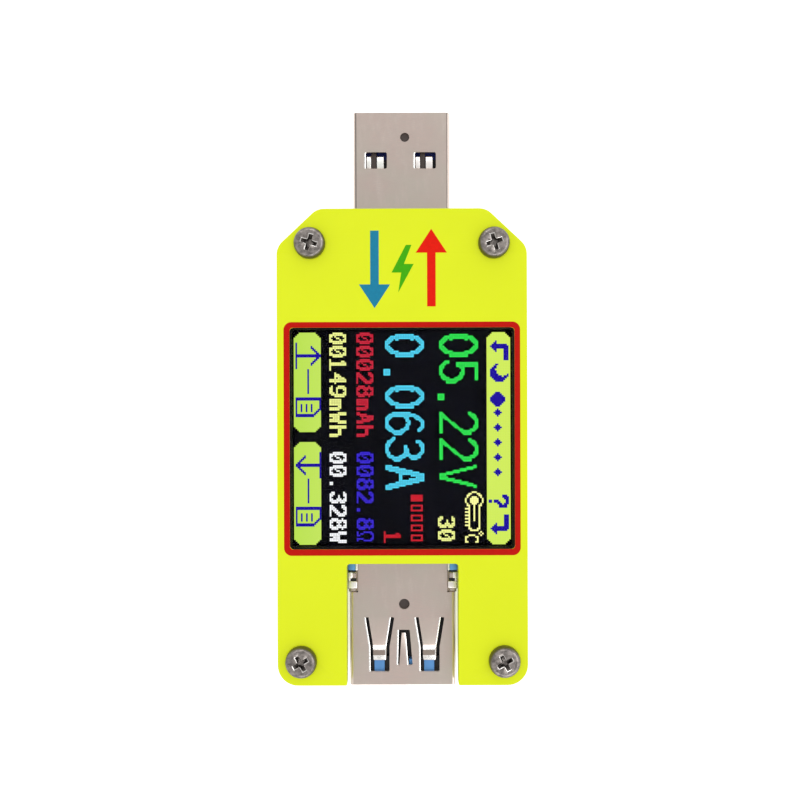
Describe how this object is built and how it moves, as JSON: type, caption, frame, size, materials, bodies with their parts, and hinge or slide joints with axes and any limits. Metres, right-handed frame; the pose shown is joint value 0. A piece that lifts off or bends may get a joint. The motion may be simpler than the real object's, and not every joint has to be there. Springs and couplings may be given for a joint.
{
  "type": "usb power meter",
  "caption": "Inline USB-A power meter: plug, socket, colour display and side buttons on a board held between yellow plates by screws and standoffs.",
  "frame": {"origin": "middle of the bounding box's bottom face, on the plane of the four rear screw heads that the meter rests on", "axes": "+Y from the socket to the plug, +Z out of the display, +X to the right when the display is seen with the plug at the top"},
  "size_m": [0.0306, 0.0712, 0.0124],
  "materials": {
    "yellow_acrylic": "gloss",
    "clear_window": "polished",
    "green_board": "satin",
    "white_plastic": "satin",
    "display_panel": "gloss",
    "foam_tape": "matte",
    "amber_film": "satin",
    "shell_steel": "satin",
    "blue_plastic": "satin",
    "gold_plate": "polished",
    "nickel_screw": "satin",
    "brass": "satin",
    "black_plastic": "matte",
    "crystal_can": "satin",
    "tantalum": "satin"
  },
  "bodies": {
    "meter": {"front_plate": "yellow_acrylic", "rear_plate": "yellow_acrylic", "display_window": "clear_window", "main_board": "green_board", "lcd_frame": "white_plastic", "lcd_backlight": "white_plastic", "lcd_glass": "display_panel", "lcd_pad": "foam_tape", "lcd_flex": "amber_film", "plug_shell": "shell_steel", "plug_insulator": "blue_plastic", "plug_contact_1": "gold_plate", "plug_contact_2": "gold_plate", "plug_contact_3": "gold_plate", "plug_contact_4": "gold_plate", "socket_shell": "shell_steel", "socket_insulator": "blue_plastic", "socket_contact_1": "gold_plate", "socket_contact_2": "gold_plate", "socket_contact_3": "gold_plate", "socket_contact_4": "gold_plate", "front_screw_plug_left": "nickel_screw", "front_screw_plug_right": "nickel_screw", "front_screw_socket_left": "nickel_screw", "front_screw_socket_right": "nickel_screw", "rear_screw_plug_left": "nickel_screw", "rear_screw_plug_right": "nickel_screw", "rear_screw_socket_left": "nickel_screw", "rear_screw_socket_right": "nickel_screw", "upper_standoff_plug_left": "brass", "upper_standoff_plug_right": "brass", "upper_standoff_socket_left": "brass", "upper_standoff_socket_right": "brass", "lower_standoff_plug_left": "brass", "lower_standoff_plug_right": "brass", "lower_standoff_socket_left": "brass", "lower_standoff_socket_right": "brass", "button_base_left_upper": "black_plastic", "button_base_left_lower": "black_plastic", "button_base_right_upper": "black_plastic", "button_base_right_lower": "black_plastic", "button_cover_left_upper": "shell_steel", "button_cover_left_lower": "shell_steel", "button_cover_right_upper": "shell_steel", "button_cover_right_lower": "shell_steel", "controller_chip": "black_plastic", "current_shunt": "black_plastic", "sense_amplifier": "black_plastic", "memory_chip": "black_plastic", "clock_crystal": "crystal_can", "supply_regulator": "black_plastic", "input_capacitor": "tantalum", "output_capacitor": "tantalum"},
    "button_left_upper": {"button_plunger_left_upper": "black_plastic"},
    "button_left_lower": {"button_plunger_left_lower": "black_plastic"},
    "button_right_upper": {"button_plunger_right_upper": "black_plastic"},
    "button_right_lower": {"button_plunger_right_lower": "black_plastic"}
  },
  "joints": [
    {"name": "left_upper_press", "type": "slide", "parent": "meter", "child": "button_left_upper", "axis": [1, 0, 0], "range_m": [0, 0.00025], "stiffness_N_per_m": 4000},
    {"name": "left_lower_press", "type": "slide", "parent": "meter", "child": "button_left_lower", "axis": [1, 0, 0], "range_m": [0, 0.00025], "stiffness_N_per_m": 4000},
    {"name": "right_upper_press", "type": "slide", "parent": "meter", "child": "button_right_upper", "axis": [-1, 0, 0], "range_m": [0, 0.00025], "stiffness_N_per_m": 4000},
    {"name": "right_lower_press", "type": "slide", "parent": "meter", "child": "button_right_lower", "axis": [-1, 0, 0], "range_m": [0, 0.00025], "stiffness_N_per_m": 4000}
  ]
}
